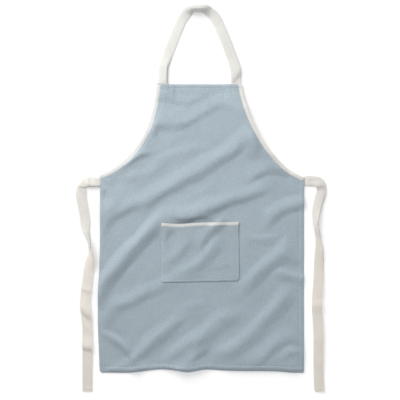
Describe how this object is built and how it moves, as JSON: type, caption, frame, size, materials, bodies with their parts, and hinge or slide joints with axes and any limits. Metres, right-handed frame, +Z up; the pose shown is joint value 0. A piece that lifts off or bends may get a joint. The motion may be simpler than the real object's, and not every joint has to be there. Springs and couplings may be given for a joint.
{
  "type": "kitchen apron",
  "caption": "Bib apron of woven cotton laid face up, with a patch pocket, bound armholes, a neck strap that forms an open loop and waist ties, all sewn together",
  "frame": {"origin": "middle of the bottom of the whole apron as it lies, on the surface below it", "axes": "+Z up from the surface, +Y from the hem towards the neck strap, +X to the right of the apron as it lies face up"},
  "size_m": [0.7986, 1.2194, 0.032],
  "materials": {
    "apron_cloth": "small-figured blue-grey and white cotton weave, matt",
    "cream_tape": "plain cream cotton tape, matt"
  },
  "bodies": {
    "root": {"body_panel": "apron_cloth", "binding_left": "cream_tape", "binding_right": "cream_tape", "pocket": "apron_cloth", "pocket_binding": "cream_tape", "neck_strap": "cream_tape", "tie_left": "cream_tape", "tie_right": "cream_tape"}
  },
  "joints": []
}
